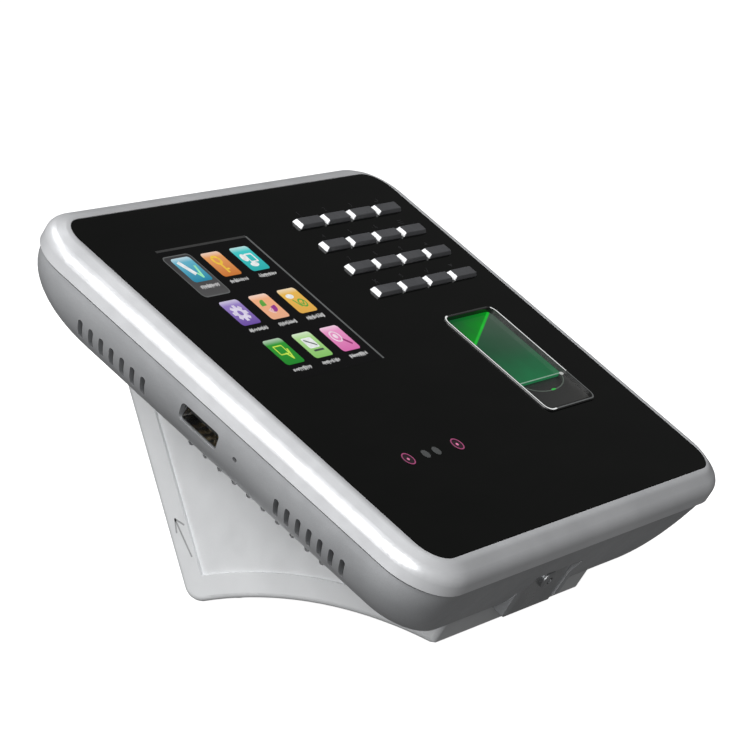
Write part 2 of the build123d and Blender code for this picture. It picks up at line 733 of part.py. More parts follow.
# ---- mounting plate and stand ------------------------------------------------------------
def back_plate():
    """Steel mounting plate with four hooks, a cable window and a tab folded up in front."""
    with BuildPart() as piece:
        with BuildSketch(on_face(PLATE_LOW, 0, -1.0)):
            RectangleRounded(74.8, 112.0, 3.0)
        extrude(amount=PLATE_THICK)
        with BuildSketch(on_face(PLATE_LOW, 0, -62.0)):
            Rectangle(TAB_WIDTH, 15.0)
        extrude(amount=PLATE_THICK)
        with BuildSketch(on_face(PLATE_LOW, 0, TAB_Y + TAB_THICK / 2)):
            Rectangle(TAB_WIDTH, TAB_THICK)
        extrude(amount=TAB_HIGH - PLATE_LOW)
        with BuildSketch(on_face(PLATE_LOW, 0, CONNECTOR_Y)):
            RectangleRounded(64.0, 36.0, 3.0)
        extrude(amount=PLATE_THICK, mode=Mode.SUBTRACT)
        # each hook stands up through its slot and turns over the inside of the rear cover
        with BuildSketch(on_face(STAND_TOP - 0.5)):
            with Locations(*[(x, y - 1.6) for x, y in HOOKS]):
                Rectangle(7.0, 1.4)
        extrude(amount=0.5 + 3.9)
        with BuildSketch(on_face(STAND_TOP + 2.6)):
            with Locations(*[(x, y + 0.2) for x, y in HOOKS]):
                Rectangle(7.0, 5.0)
        extrude(amount=1.3)
        with BuildSketch(on_bottom(TAB_Y - 1, 0, SECURITY_SCREW_Z)):
            Circle(1.6)
        extrude(amount=-3.0, mode=Mode.SUBTRACT)
        with BuildSketch(on_face(STAND_TOP)):
            with Locations(*PLATE_SCREWS):
                Circle(2.85)
        extrude(amount=-1.3, taper=45, mode=Mode.SUBTRACT)
        with BuildSketch(on_face(STAND_TOP)):
            with Locations(*PLATE_SCREWS):
                Circle(1.6)
        extrude(amount=-PLATE_THICK, mode=Mode.SUBTRACT)
    save(piece, "back_plate")


def stand_outline(top):
    """Side view of the stand: short front wall, arched foot line, leaning rear wall."""
    front_top = upright(STAND_FRONT, top)
    front_foot = upright(STAND_FRONT, FRONT_FOOT_Z)
    start = front_foot[0] + ARCH_START
    middle = (start + ARCH_LENGTH / 2, FOOT_LIFT + ARCH_RISE)
    rear = front_foot[0] + STAND_FOOT_LENGTH
    rear_wall = Axis((0, rear, FOOT_LIFT), (0, sin(REAR_LEAN), cos(REAR_LEAN)))
    back_line = Plane(origin=FACE.from_local_coords(Vector(0, 0, top)), z_dir=FACE.z_dir)
    rear_top = back_line.intersect(rear_wall)
    with BuildSketch(Plane.YZ) as outline:
        with BuildLine():
            Polyline(
                (start, FOOT_LIFT), front_foot, front_top, (rear_top.Y, rear_top.Z),
                (rear, FOOT_LIFT), (start + ARCH_LENGTH, FOOT_LIFT),
            )
            ThreePointArc((start + ARCH_LENGTH, FOOT_LIFT), middle, (start, FOOT_LIFT))
        make_face()
        low_rear = outline.vertices().group_by(Axis.Y)[0].sort_by(Axis.X)[-1]
        fillet(low_rear, radius=STAND_REAR_ROUND)
    return outline.sketch


def stand_shell():
    """Hollow stand, open below, with recessed sides, slots and a flange under the plate."""
    outline = stand_outline(STAND_TOP)
    cavity = offset(stand_outline(PLATE_LOW), amount=-STAND_WALL, kind=Kind.INTERSECTION)
    recess = offset(outline, amount=-RECESS_MARGIN, kind=Kind.INTERSECTION)
    half = STAND_WIDTH / 2
    inner = half - STAND_WALL
    with BuildPart() as piece:
        extrude(outline, amount=half, both=True)
        sides = piece.faces().filter_by(Axis.X).edges()
        fillet(sides.filter_by_position(OUT, -200, STAND_TOP - 1.0), radius=STAND_EDGE_ROUND)
        extrude(cavity, amount=inner, both=True, mode=Mode.SUBTRACT)
        with BuildSketch(on_face(PLATE_LOW, 0, -1.0)):
            RectangleRounded(75.2, 112.4, 3.2)
        extrude(amount=PLATE_THICK + 1, mode=Mode.SUBTRACT)
        with BuildSketch(on_face(PLATE_LOW, 0, -62.0)):
            Rectangle(TAB_WIDTH + 0.8, 16.0)
        extrude(amount=PLATE_THICK + 1, mode=Mode.SUBTRACT)
        with BuildSketch(on_face(PLATE_LOW - STAND_WALL - 0.5, 0, -8.0)):
            Rectangle(50.0, 62.0)
        extrude(amount=STAND_WALL + 1, mode=Mode.SUBTRACT)
        with BuildSketch(on_face(PLATE_LOW - STAND_WALL - 0.5)):
            with Locations(*PLATE_SCREWS):
                Circle(1.5)
        extrude(amount=STAND_WALL + 1, mode=Mode.SUBTRACT)
        with BuildSketch(Plane.XY.offset(-1)):
            with Locations((0, FOOT_MIDDLE)):
                Rectangle(2 * inner, FOOT_OPENING)
        extrude(amount=11.0, mode=Mode.SUBTRACT)
        # shallow field and slots on both sides
        for edge, inward in ((-half, RECESS_DEPTH), (half, -RECESS_DEPTH)):
            field = Pos(edge, 0, 0) * recess
            extrude(field, amount=inward, mode=Mode.SUBTRACT)
            with BuildSketch(on_side(edge)):
                with Locations(*SLOTS):
                    SlotOverall(SLOT_HIGH - SLOT_LOW, SLOT_WIDTH, rotation=90)
            extrude(amount=inward * 4, mode=Mode.SUBTRACT)
        with BuildSketch(Plane.XY.offset(FOOT_LIFT)):
            with Locations(*FEET):
                Circle(FOOT_PEG / 2)
        extrude(amount=6.0, mode=Mode.SUBTRACT)
    save(piece, "stand_shell")


def rubber_feet():
    """Four rubber feet, each with a peg that presses into the stand's foot flange."""
    with BuildPart() as piece:
        with BuildSketch(Plane.XY):
            with Locations(*FEET):
                Circle(FOOT_DIAMETER / 2)
        extrude(amount=FOOT_LIFT)
        with BuildSketch(Plane.XY.offset(FOOT_LIFT)):
            with Locations(*FEET):
                Circle(FOOT_PEG / 2 - GAP)
        extrude(amount=4.0)
    save(piece, "rubber_feet")


SLOTS = [(SLOT_FIRST - SLOT_PITCH * step, (SLOT_LOW + SLOT_HIGH) / 2) for step in range(SLOT_COUNT)]
FRONT_FOOT_Y = upright(STAND_FRONT, FRONT_FOOT_Z)[0]
FOOT_MIDDLE = FRONT_FOOT_Y + STAND_FOOT_LENGTH / 2
FOOT_OPENING = STAND_FOOT_LENGTH - 26.0
FOOT_DIAMETER = 6.0
FOOT_PEG = 3.0
FOOT_SPAN = STAND_FOOT_LENGTH / 2 - 7.0
FEET = [(x, FOOT_MIDDLE + step * FOOT_SPAN) for x in (-26.0, 26.0) for step in (-1, 1)]


# ---- write every piece -------------------------------------------------------------------
os.makedirs("parts", exist_ok=True)

front_bezel()
front_panel()
block("display_lens", -0.02, -1.6, DISPLAY_X, DISPLAY_Y, DISPLAY_WIDTH, DISPLAY_HEIGHT, 1.0)
block("lcd_module", -2.1, -5.1, DISPLAY_X, DISPLAY_Y, 47.0, 57.0, 0.6)
lcd_frame()
front_chassis()
for row, y in enumerate(KEY_ROWS):
    for column, x in enumerate(KEY_COLUMNS):
        key(KEY_NAMES[row][column], x, y)
keypad_membrane()
block("keypad_board", CHASSIS_LOW - GAP, CHASSIS_LOW - 1.25, KEYPAD_X, KEYPAD_Y, 60.0, 38.4, 1.0)

sensor_frame()
sensor_prism()
finger_rest()
sensor_housing()
block("sensor_imager", -12.6, -13.4, SENSOR_X, SENSOR_Y, 20.0, 20.0, 0.5)
for side, x in zip(("left", "right"), LIGHT_X):
    disc(f"light_ring_{side}", 0.15, -2.0, x, WINDOW_ROW_Y, RING_DIAMETER, 3.2)
    disc(f"light_dot_{side}", 0.05, -4.35, x, WINDOW_ROW_Y, 3.1)
for side, x in zip(("left", "right"), LENS_X):
    disc(f"small_lens_{side}", 0.0, -4.35, x, WINDOW_ROW_Y, LENS_DIAMETER)
block("light_board", -4.4, -5.55, sum(LENS_X) / 2, WINDOW_ROW_Y, 34.0, 10.0, 0.6)

rear_cover()
main_board()
board_chips()
disc("coin_cell", BOARD_TOP + 3.2, BOARD_TOP, 34.0, 30.0, 20.0)
block("relay", BOARD_LOW, -29.4, 38.0, 28.0, 15.0, 19.0, 0.5)
terminal_block()
network_jack()
power_jack()
usb_shell()
usb_tongue()
reset_button()
reset_switch()
tamper_plunger()
tamper_switch()
disc("speaker", -9.0, -14.0, -64.0, -27.0, 22.0)

back_plate()
stand_shell()
rubber_feet()
screws("case_screws", CASE_SCREWS, CASE_SCREW_SEAT, 5.6, 2.0, 2.9, 11.0)
screws("board_screws", corners(BOARD_SCREW_X, BOARD_SCREW_Y), BOARD_TOP, 5.0, 1.6, 2.4, -9.0)
screws("chassis_screws", CHASSIS_SCREWS, CHASSIS_LOW, 3.6, 1.2, 1.9, 3.0)
plate_screws()
security_screw()
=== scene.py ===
from math import cos, pi, radians, sin

import bmesh
import bpy
from mathutils import Matrix, Vector


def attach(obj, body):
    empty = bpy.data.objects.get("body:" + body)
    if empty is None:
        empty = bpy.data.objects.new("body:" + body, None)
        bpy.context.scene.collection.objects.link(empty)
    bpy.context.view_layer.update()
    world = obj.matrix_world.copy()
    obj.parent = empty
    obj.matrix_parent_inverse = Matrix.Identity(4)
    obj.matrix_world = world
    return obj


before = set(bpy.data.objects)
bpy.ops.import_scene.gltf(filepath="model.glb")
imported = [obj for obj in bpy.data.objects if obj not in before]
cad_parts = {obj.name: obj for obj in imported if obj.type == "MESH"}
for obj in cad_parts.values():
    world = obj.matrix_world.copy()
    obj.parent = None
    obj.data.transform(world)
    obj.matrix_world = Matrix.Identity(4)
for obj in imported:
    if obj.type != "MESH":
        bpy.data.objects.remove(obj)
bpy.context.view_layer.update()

# Fingerprint terminal on its desk stand. Metres, z up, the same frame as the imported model.
# The face frame: x to the right across the face, y up the face, z straight out of it, in
# millimetres from the middle of the black panel's top.
MM = 0.001
FACE_TILT = radians(32.5)
FACE_FORWARD = -4.37
STAND_FRONT, FRONT_FOOT_Z, FOOT_LIFT = -66.3, -38.7, 0.4
FACE_HEIGHT = FOOT_LIFT - STAND_FRONT * sin(FACE_TILT) - FRONT_FOOT_Z * cos(FACE_TILT)
FACE_CENTRE = Vector((0, FACE_FORWARD, FACE_HEIGHT)) * MM
FACE = Matrix.Translation(FACE_CENTRE) @ Matrix.Rotation(FACE_TILT, 4, "X")
SIDEWAYS = Matrix(((0, 0, 1, 0), (1, 0, 0, 0), (0, 1, 0, 0), (0, 0, 0, 1)))
ROOT = "terminal"


def on_face(x, y, z=0.0):
    """A point of the face frame as a point of the object."""
    return FACE @ Vector((x * MM, y * MM, z * MM))


# ---- node material helpers ---------------------------------------------------------------
class Finish:
    """A material under construction: short ways to add and join nodes."""

    def __init__(self, name):
        self.material = bpy.data.materials.new(name)
        self.material.use_nodes = True
        self.tree = self.material.node_tree
        self.shader = self.tree.nodes["Principled BSDF"]

    def node(self, kind, **values):
        made = self.tree.nodes.new(kind)
        for key, value in values.items():
            if hasattr(made, key):
                setattr(made, key, value)
            else:
                made.inputs[key.replace("_", " ")].default_value = value
        return made

    def link(self, source, target):
        self.tree.links.new(source, target)

    def set(self, **values):
        for key, value in values.items():
            self.shader.inputs[key.replace("_", " ")].default_value = value

    def place(self):
        """Object coordinates."""
        return self.node("ShaderNodeTexCoord").outputs["Object"]

    def face_place(self):
        """Coordinates of the face frame, in metres."""
        turn = self.node("ShaderNodeMapping", vector_type="TEXTURE")
        turn.inputs["Location"].default_value = FACE_CENTRE
        turn.inputs["Rotation"].default_value = (FACE_TILT, 0, 0)
        self.link(self.place(), turn.inputs["Vector"])
        return turn.outputs["Vector"]

    def noise(self, scale, detail=3.0, vector=None, stretch=None):
        """Noise with a given number of grains per metre."""
        made = self.node("ShaderNodeTexNoise", Scale=scale, Detail=detail)
        source = vector or self.place()
        if stretch:
            squeeze = self.node("ShaderNodeMapping")
            squeeze.inputs["Scale"].default_value = stretch
            self.link(source, squeeze.inputs["Vector"])
            source = squeeze.outputs["Vector"]
        self.link(source, made.inputs["Vector"])
        return made.outputs["Fac"]

    def spread(self, value, low, high, start=0.35, stop=0.65):
        """Remap a value to a range."""
        made = self.node("ShaderNodeMapRange")
        for key, number in (("From Min", start), ("From Max", stop), ("To Min", low), ("To Max", high)):
            made.inputs[key].default_value = number
        self.link(value, made.inputs["Value"])
        return made.outputs["Result"]

    def math(self, operation, first, second=0.0):
        made = self.node("ShaderNodeMath", operation=operation)
        for slot, value in zip(made.inputs, (first, second)):
            if isinstance(value, (int, float)):
                slot.default_value = value
            else:
                self.link(value, slot)
        return made.outputs["Value"]

    def blend(self, factor, low, high):
        """Mix two colours, or a colour and a socket, by a factor."""
        made = self.node("ShaderNodeMix", data_type="RGBA")
        for slot, value in ((made.inputs[6], low), (made.inputs[7], high)):
            if hasattr(value, "is_linked"):
                self.link(value, slot)
            else:
                slot.default_value = (*value, 1)
        if isinstance(factor, (int, float)):
            made.inputs["Factor"].default_value = factor
        else:
            self.link(factor, made.inputs["Factor"])
        return made.outputs[2]

    def bump(self, *layers):
        """Stack bump layers given as (height, strength, distance)."""
        normal = None
        for height, strength, distance in layers:
            made = self.node("ShaderNodeBump", Strength=strength, Distance=distance)
            self.link(height, made.inputs["Height"])
            if normal:
                self.link(normal, made.inputs["Normal"])
            normal = made.outputs["Normal"]
        self.link(normal, self.shader.inputs["Normal"])

    def edge_wear(self, width=0.0004):
        """1 where an edge is sharp, broken up by noise, else 0."""
        bevel = self.node("ShaderNodeBevel", samples=4, Radius=width)
        geometry = self.node("ShaderNodeNewGeometry")
        dot = self.node("ShaderNodeVectorMath", operation="DOT_PRODUCT")
        self.link(bevel.outputs["Normal"], dot.inputs[0])
        self.link(geometry.outputs["Normal"], dot.inputs[1])
        edge = self.spread(dot.outputs["Value"], 1.0, 0.0, 0.86, 0.99)
        return self.math("MULTIPLY", edge, self.spread(self.noise(420), 0.2, 1.0))


def painted(name, dark, light, metallic, roughness, coat=0.0, wear=(0.80, 0.81, 0.82), grain=1.0):
    """Silver paint: fine metal flake, orange peel, slight mottling and rubbed edges."""
    finish = Finish(name)
    mottle = finish.spread(finish.noise(38, 4), 0.0, 1.0)
    flake = finish.spread(finish.noise(5200, 2), 0.0, 1.0)
    colour = finish.blend(mottle, dark, light)
    speckle = finish.blend(finish.math("MULTIPLY", flake, 0.16 * grain), colour, wear)
    worn = finish.blend(finish.math("MULTIPLY", finish.edge_wear(), 0.35), speckle, wear)
    finish.link(worn, finish.shader.inputs["Base Color"])
    finish.set(Metallic=metallic, Coat_Weight=coat, Coat_Roughness=0.18, IOR=1.45)
    finish.link(
        finish.spread(finish.noise(260, 5), roughness - 0.04, roughness + 0.05),
        finish.shader.inputs["Roughness"],
    )
    finish.bump((finish.noise(1400, 2), 0.10 * grain, 0.00006), (flake, 0.06 * grain, 0.00003))
    return finish.material


def plastic(name, colour, roughness, variation=0.15, grain_scale=2400, grain=0.12, specular=0.5):
    """Moulded plastic with a fine texture, slight shade changes and a soft sheen."""
    finish = Finish(name)
    low = tuple(c * (1 - variation) for c in colour)
    high = tuple(min(1.0, c * (1 + variation)) for c in colour)
    mix = finish.blend(finish.spread(finish.noise(60, 4), 0, 1), low, high)
    finish.link(mix, finish.shader.inputs["Base Color"])
    finish.set(Specular_IOR_Level=specular)
    finish.link(
        finish.spread(finish.noise(500, 3), roughness - 0.06, roughness + 0.06),
        finish.shader.inputs["Roughness"],
    )
    finish.bump((finish.noise(grain_scale, 2), grain, 0.00008))
    return finish.material


def metal(name, colour, roughness, brushed=(40, 1, 1), strength=0.08):
    """Plated or brushed metal with directional grain and faint smears."""
    finish = Finish(name)
    lines = finish.noise(900, 3, stretch=brushed)
    low = tuple(c * 0.82 for c in colour)
    mix = finish.blend(finish.spread(lines, 0, 1), low, colour)
    finish.link(mix, finish.shader.inputs["Base Color"])
    finish.set(Metallic=1.0)
    finish.link(
        finish.spread(finish.noise(120, 4), roughness * 0.7, roughness * 1.3),
        finish.shader.inputs["Roughness"],
    )
    finish.bump((lines, strength, 0.00004))
    return finish.material


def black_gloss(name):
    """Piano-black sheet: almost clean, with the faintest wipe marks and dust."""
    finish = Finish(name)
    place = finish.face_place()
    dust = finish.spread(finish.noise(9000, 1, place), 0.0, 1.0, 0.74, 0.80)
    smear = finish.spread(finish.noise(26, 5, place, (1.0, 3.0, 1.0)), 0.0, 1.0)
    base = finish.blend(smear, (0.0012, 0.0015, 0.0012), (0.0020, 0.0023, 0.0019))
    colour = finish.blend(finish.math("MULTIPLY", dust, 0.03), base, (0.25, 0.25, 0.25))
    finish.link(colour, finish.shader.inputs["Base Color"])
    finish.set(IOR=1.36, Specular_IOR_Level=0.22)
    finish.link(finish.math("ADD", 0.055, finish.math("MULTIPLY", smear, 0.03)),
                finish.shader.inputs["Roughness"])
    finish.bump((finish.noise(30, 2, place), 0.02, 0.0004))
    return finish.material


def glowing(name, colour, strength, roughness=0.35, shade=0.2, scale=300):
    """A lit surface whose brightness drifts a little."""
    finish = Finish(name)
    low = tuple(c * (1 - shade) for c in colour)
    mix = finish.blend(finish.spread(finish.noise(scale, 3), 0, 1), low, colour)
    finish.link(mix, finish.shader.inputs["Emission Color"])
    finish.set(Base_Color=(0.01, 0.01, 0.01, 1), Emission_Strength=strength, Roughness=roughness)
    return finish.material


def along(finish, place, direction, start, stop):
    """0 to 1 along a direction of the face, between two distances in millimetres."""
    made = finish.node("ShaderNodeVectorMath", operation="DOT_PRODUCT")
    finish.link(place, made.inputs[0])
    made.inputs[1].default_value = (*direction, 0)
    return finish.spread(made.outputs["Value"], 0.0, 1.0, start * MM, stop * MM)


def key_rubber(name):
    """Satin dark key caps whose left-facing ends are painted near white: a painted highlight from the light on the
    left.
    """
    finish = Finish(name)
    mottle = finish.spread(finish.noise(90, 4), 0.0, 1.0)
    grey = finish.blend(mottle, (0.078, 0.080, 0.086), (0.094, 0.096, 0.102))
    geometry = finish.node("ShaderNodeNewGeometry")
    parts = finish.node("ShaderNodeSeparateXYZ")
    finish.link(geometry.outputs["Normal"], parts.inputs["Vector"])
    # painted highlight: where the surface faces left, the colour turns near white in place of the light from that side
    left = finish.spread(parts.outputs["X"], 1.0, 0.0, -0.74, -0.50)
    colour = finish.blend(left, grey, (0.95, 0.96, 0.97))
    finish.link(colour, finish.shader.inputs["Base Color"])
    finish.set(Specular_IOR_Level=0.6)
    finish.link(finish.spread(finish.noise(500, 3), 0.30, 0.42), finish.shader.inputs["Roughness"])
    finish.bump((finish.noise(3200, 2), 0.10, 0.00006))
    return finish.material


# ---- sensor: what is seen in and under the glass -----------------------------------------
SENSOR_X, SENSOR_Y = 44.45, -13.6
SENSOR_HALF_WIDTH, SENSOR_HALF_HEIGHT = 13.1, 20.1
SENSOR_LEFT, SENSOR_RIGHT = SENSOR_X - SENSOR_HALF_WIDTH, SENSOR_X + SENSOR_HALF_WIDTH
SENSOR_TOP = SENSOR_Y + SENSOR_HALF_HEIGHT
GLASS_LOW = -22.0
MIRROR_DROP = 12.0          # the mirror edge ends this far below the top on the left side
SCOOP_X, SCOOP_RX, SCOOP_RY = 44.45, 11.8, 5.2


def sensor_glass():
    """Green-lit prism: a saturated corner above the mirror edge, a grey-green sheet below."""
    finish = Finish("sensor_glass")
    place = finish.face_place()
    span = Vector((SENSOR_RIGHT - SENSOR_LEFT, MIRROR_DROP, 0))
    across = Vector((-span.y, span.x, 0)).normalized()
    edge_at = across.dot(Vector((SENSOR_RIGHT, SENSOR_TOP, 0)))
    above = along(finish, place, across[:2], edge_at - 0.12, edge_at + 0.12)
    right = along(finish, place, (1, 0), SENSOR_LEFT, SENSOR_RIGHT)
    cloud = finish.spread(finish.noise(140, 4, place), 0.0, 1.0)
    lower = finish.blend(right, (0.010, 0.070, 0.030), (0.022, 0.085, 0.045))
    foot = finish.blend(along(finish, place, (0, -1), 8, 21), lower, (0.012, 0.150, 0.055))
    haze = finish.math("MULTIPLY", right, along(finish, place, (0, 1), -14, 2))
    hazy = finish.blend(finish.math("MULTIPLY", haze, 0.75), foot, (0.075, 0.095, 0.080))
    corner = finish.blend(
        along(finish, place, across[:2], edge_at, edge_at + 9), (0.0, 0.26, 0.010), (0.004, 0.080, 0.022)
    )
    both = finish.blend(above, hazy, corner)
    near = along(finish, place, across[:2], edge_at - 2, edge_at + 2)
    offset = finish.math("ABSOLUTE", finish.math("SUBTRACT", near, 0.5))
    line = finish.spread(offset, 1.0, 0.0, 0.05, 0.14)
    lit = finish.blend(line, both, (0.012, 0.50, 0.030))
    dull = finish.blend(finish.math("MULTIPLY", cloud, 0.22), lit, (0.016, 0.06, 0.03))
    finish.link(dull, finish.shader.inputs["Emission Color"])
    finish.set(Base_Color=(0.004, 0.008, 0.005, 1), Emission_Strength=0.95, Roughness=0.12,
               IOR=1.35, Specular_IOR_Level=0.2)
    finish.bump((finish.noise(220, 2, place), 0.03, 0.0002))
    return finish.material


def finger_rest_grey():
    """Satin grey rest, a little lighter towards its lower right corner."""
    finish = Finish("finger_rest_grey")
    place = finish.face_place()
    fall = along(finish, place, (0.35, -0.94), 36, 50)
    colour = finish.blend(fall, (0.032, 0.034, 0.033), (0.052, 0.052, 0.050))
    grain = finish.blend(finish.math("MULTIPLY", finish.noise(800, 3, place), 0.3), colour, (0.03, 0.03, 0.03))
    finish.link(grain, finish.shader.inputs["Base Color"])
    finish.set(Roughness=0.42, Specular_IOR_Level=0.4)
    finish.bump((finish.noise(2600, 2, place), 0.08, 0.00006))
    return finish.material


# ---- every finish of the object ----------------------------------------------------------
SILVER_PAINT = painted("silver_paint", (0.70, 0.71, 0.73), (0.80, 0.81, 0.83), 0.42, 0.36, 0.2)
SILVER_SHELL = painted("silver_shell", (0.40, 0.41, 0.425), (0.48, 0.49, 0.505), 0.45, 0.42, 0.08)
STAND_SILVER = painted("stand_silver", (0.60, 0.61, 0.62), (0.68, 0.69, 0.70), 0.25, 0.45, 0.05)
BLACK_GLOSS = black_gloss("black_gloss")
DISPLAY_BLACK = plastic("display_black", (0.0008, 0.0008, 0.0010), 0.10, specular=0.15, grain=0.01)
KEY_GREY = key_rubber("key_grey")
BRIGHT_RIM = metal("bright_rim", (0.80, 0.81, 0.82), 0.22)
DIM_RIM = metal("dim_rim", (0.10, 0.10, 0.10), 0.35)
SENSOR_GLASS = sensor_glass()
REST_GREY = finger_rest_grey()
BLACK_PLASTIC = plastic("black_plastic", (0.012, 0.012, 0.013), 0.5)
CIRCUIT = plastic("circuit_board", (0.012, 0.10, 0.04), 0.35, variation=0.35)
CHIP = plastic("chip_black", (0.02, 0.02, 0.02), 0.6, grain=0.2)
TERMINAL_GREEN = plastic("terminal_green", (0.03, 0.24, 0.09), 0.45)
STEEL = metal("plated_steel", (0.52, 0.53, 0.54), 0.32)
GOLD = metal("contact_gold", (0.80, 0.58, 0.24), 0.28)
RUBBER = plastic("rubber", (0.018, 0.018, 0.018), 0.8, grain=0.35, specular=0.2)
RING_DARK = glowing("ring_dark", (0.020, 0.002, 0.010), 0.6)
RING_PINK = glowing("ring_pink", (0.42, 0.07, 0.20), 0.9)
DOT_PINK = glowing("dot_pink", (0.80, 0.22, 0.42), 1.0)
LENS_GREY = plastic("lens_grey", (0.085, 0.09, 0.09), 0.25, specular=0.8)
LINE_WHITE = glowing("line_white", (0.86, 0.88, 0.87), 1.0, shade=0.12, scale=120)
LINE_GREY = glowing("line_grey", (0.11, 0.115, 0.115), 1.0)
LINE_FAINT = glowing("line_faint", (0.028, 0.028, 0.028), 1.0)
LINE_GREEN_WHITE = glowing("line_green_white", (0.22, 0.36, 0.27), 1.0)
SPOT_GREEN = glowing("spot_green", (0.03, 0.42, 0.06), 1.0, scale=900)
LEGEND_GREY = plastic("legend_grey", (0.020, 0.020, 0.022), 0.5, specular=0.3)
ENGRAVED_GREY = painted("engraved_grey", (0.24, 0.245, 0.25), (0.30, 0.305, 0.31), 0.3, 0.5)

NODE_FINISH = {
    "front_bezel": SILVER_PAINT, "front_panel": BLACK_GLOSS, "display_lens": DISPLAY_BLACK,
    "lcd_module": DISPLAY_BLACK, "lcd_frame": STEEL, "front_chassis": BLACK_PLASTIC,
    "keypad_membrane": RUBBER, "keypad_board": CIRCUIT, "sensor_frame": DIM_RIM,
    "sensor_prism": SENSOR_GLASS, "finger_rest": REST_GREY, "sensor_housing": BLACK_PLASTIC,
    "sensor_imager": CIRCUIT, "light_ring_left": RING_DARK, "light_ring_right": RING_DARK,
    "light_dot_left": RING_DARK, "light_dot_right": RING_DARK, "small_lens_left": LENS_GREY,
    "small_lens_right": LENS_GREY, "light_board": CIRCUIT, "rear_cover": SILVER_SHELL,
    "main_board": CIRCUIT, "board_chips": CHIP, "coin_cell": STEEL, "relay": BLACK_PLASTIC,
    "terminal_block": TERMINAL_GREEN, "network_jack": STEEL, "power_jack": BLACK_PLASTIC,
    "usb_shell": BRIGHT_RIM, "usb_tongue": BLACK_PLASTIC, "reset_button": BLACK_PLASTIC,
    "reset_switch": STEEL, "tamper_plunger": BLACK_PLASTIC, "tamper_switch": BLACK_PLASTIC,
    "speaker": BLACK_PLASTIC, "back_plate": STEEL, "stand_shell": STAND_SILVER,
    "rubber_feet": RUBBER, "case_screws": STEEL, "board_screws": STEEL,
    "chassis_screws": STEEL, "plate_screws": STEEL, "security_screw": STEEL,
}
for name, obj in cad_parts.items():
    finish = NODE_FINISH.get(name, KEY_GREY)
    for slot in obj.material_slots:
        slot.material = finish
    if not obj.material_slots:
        obj.data.materials.append(finish)


# ---- mesh helpers ------------------------------------------------------------------------
def placed(name, mesh, body=ROOT):
    """Turn a mesh of the face frame (millimetres) into a named piece that rides on a body."""
    mesh.transform(FACE @ Matrix.Scale(MM, 4))
    mesh.name = name
    piece = bpy.data.objects.new(name, mesh)
    bpy.context.scene.collection.objects.link(piece)
    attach(piece, body)
    return piece


def finished(name, builder, material, turn=None):
    """Turn a bmesh of the face frame into a named piece."""
    if turn:
        builder.transform(turn)
    bmesh.ops.recalc_face_normals(builder, faces=builder.faces)
    mesh = bpy.data.meshes.new(name)
    builder.to_mesh(mesh)
    builder.free()
    mesh.materials.append(material)
    return placed(name, mesh)


def slab(builder, outline, low, high):
    """Add a closed slab with the given outline between two heights."""
    bottom = [builder.verts.new((x, y, low)) for x, y in outline]
    top = [builder.verts.new((x, y, high)) for x, y in outline]
    builder.faces.new(top)
    builder.faces.new(list(reversed(bottom)))
    count = len(outline)
    for i in range(count):
        j = (i + 1) % count
        builder.faces.new((bottom[i], bottom[j], top[j], top[i]))


def rounded(x, y, width, height, corner, steps=6):
    """Outline of a rounded rectangle about (x, y)."""
    points = []
    for quarter, (sx, sy) in enumerate(((1, 1), (-1, 1), (-1, -1), (1, -1))):
        for step in range(steps + 1):
            angle = pi / 2 * (quarter + step / steps)
            points.append((
                x + sx * (width / 2 - corner) + corner * cos(angle),
                y + sy * (height / 2 - corner) + corner * sin(angle),
            ))
    return points


def ellipse(x, y, rx, ry, steps=32, start=0.0, sweep=2 * pi):
    """Outline of an ellipse or of a sector of one."""
    closed = abs(sweep - 2 * pi) < 1e-6
    count = steps if closed else steps + 1
    return [
        (x + rx * cos(start + sweep * i / steps), y + ry * sin(start + sweep * i / steps))
        for i in range(count)
    ]


def band(builder, outer, inner, low, high):
    """Add a closed ring between two outlines of equal length."""
    rings = [
        [builder.verts.new((x, y, z)) for x, y in outline]
        for outline, z in ((outer, low), (outer, high), (inner, high), (inner, low))
    ]
    count = len(outer)
    for i in range(count):
        j = (i + 1) % count
        for a, b in ((0, 1), (1, 2), (2, 3), (3, 0)):
            builder.faces.new((rings[a][i], rings[a][j], rings[b][j], rings[b][i]))


def ribbon(builder, points, width, low, high):
    """Add one line of even width through the points, with square ends."""
    path = [Vector(point) for point in points]
    left, right = [], []
    for i, point in enumerate(path):
        ahead = path[min(i + 1, len(path) - 1)] - path[max(i - 1, 0)]
        across = Vector((-ahead.y, ahead.x)).normalized() * width / 2
        left.append(tuple(point + across))
        right.append(tuple(point - across))
    slab(builder, left + right[::-1], low, high)


def stroke(builder, points, width, low, high):
    """Add a bent line with sharp corners, one slab a run."""
    for start, stop in zip(points, points[1:]):
        run = (Vector(stop) - Vector(start)).normalized() * width / 2
        ribbon(builder, [tuple(Vector(start) - run / 2), tuple(Vector(stop) + run / 2)], width, low, high)


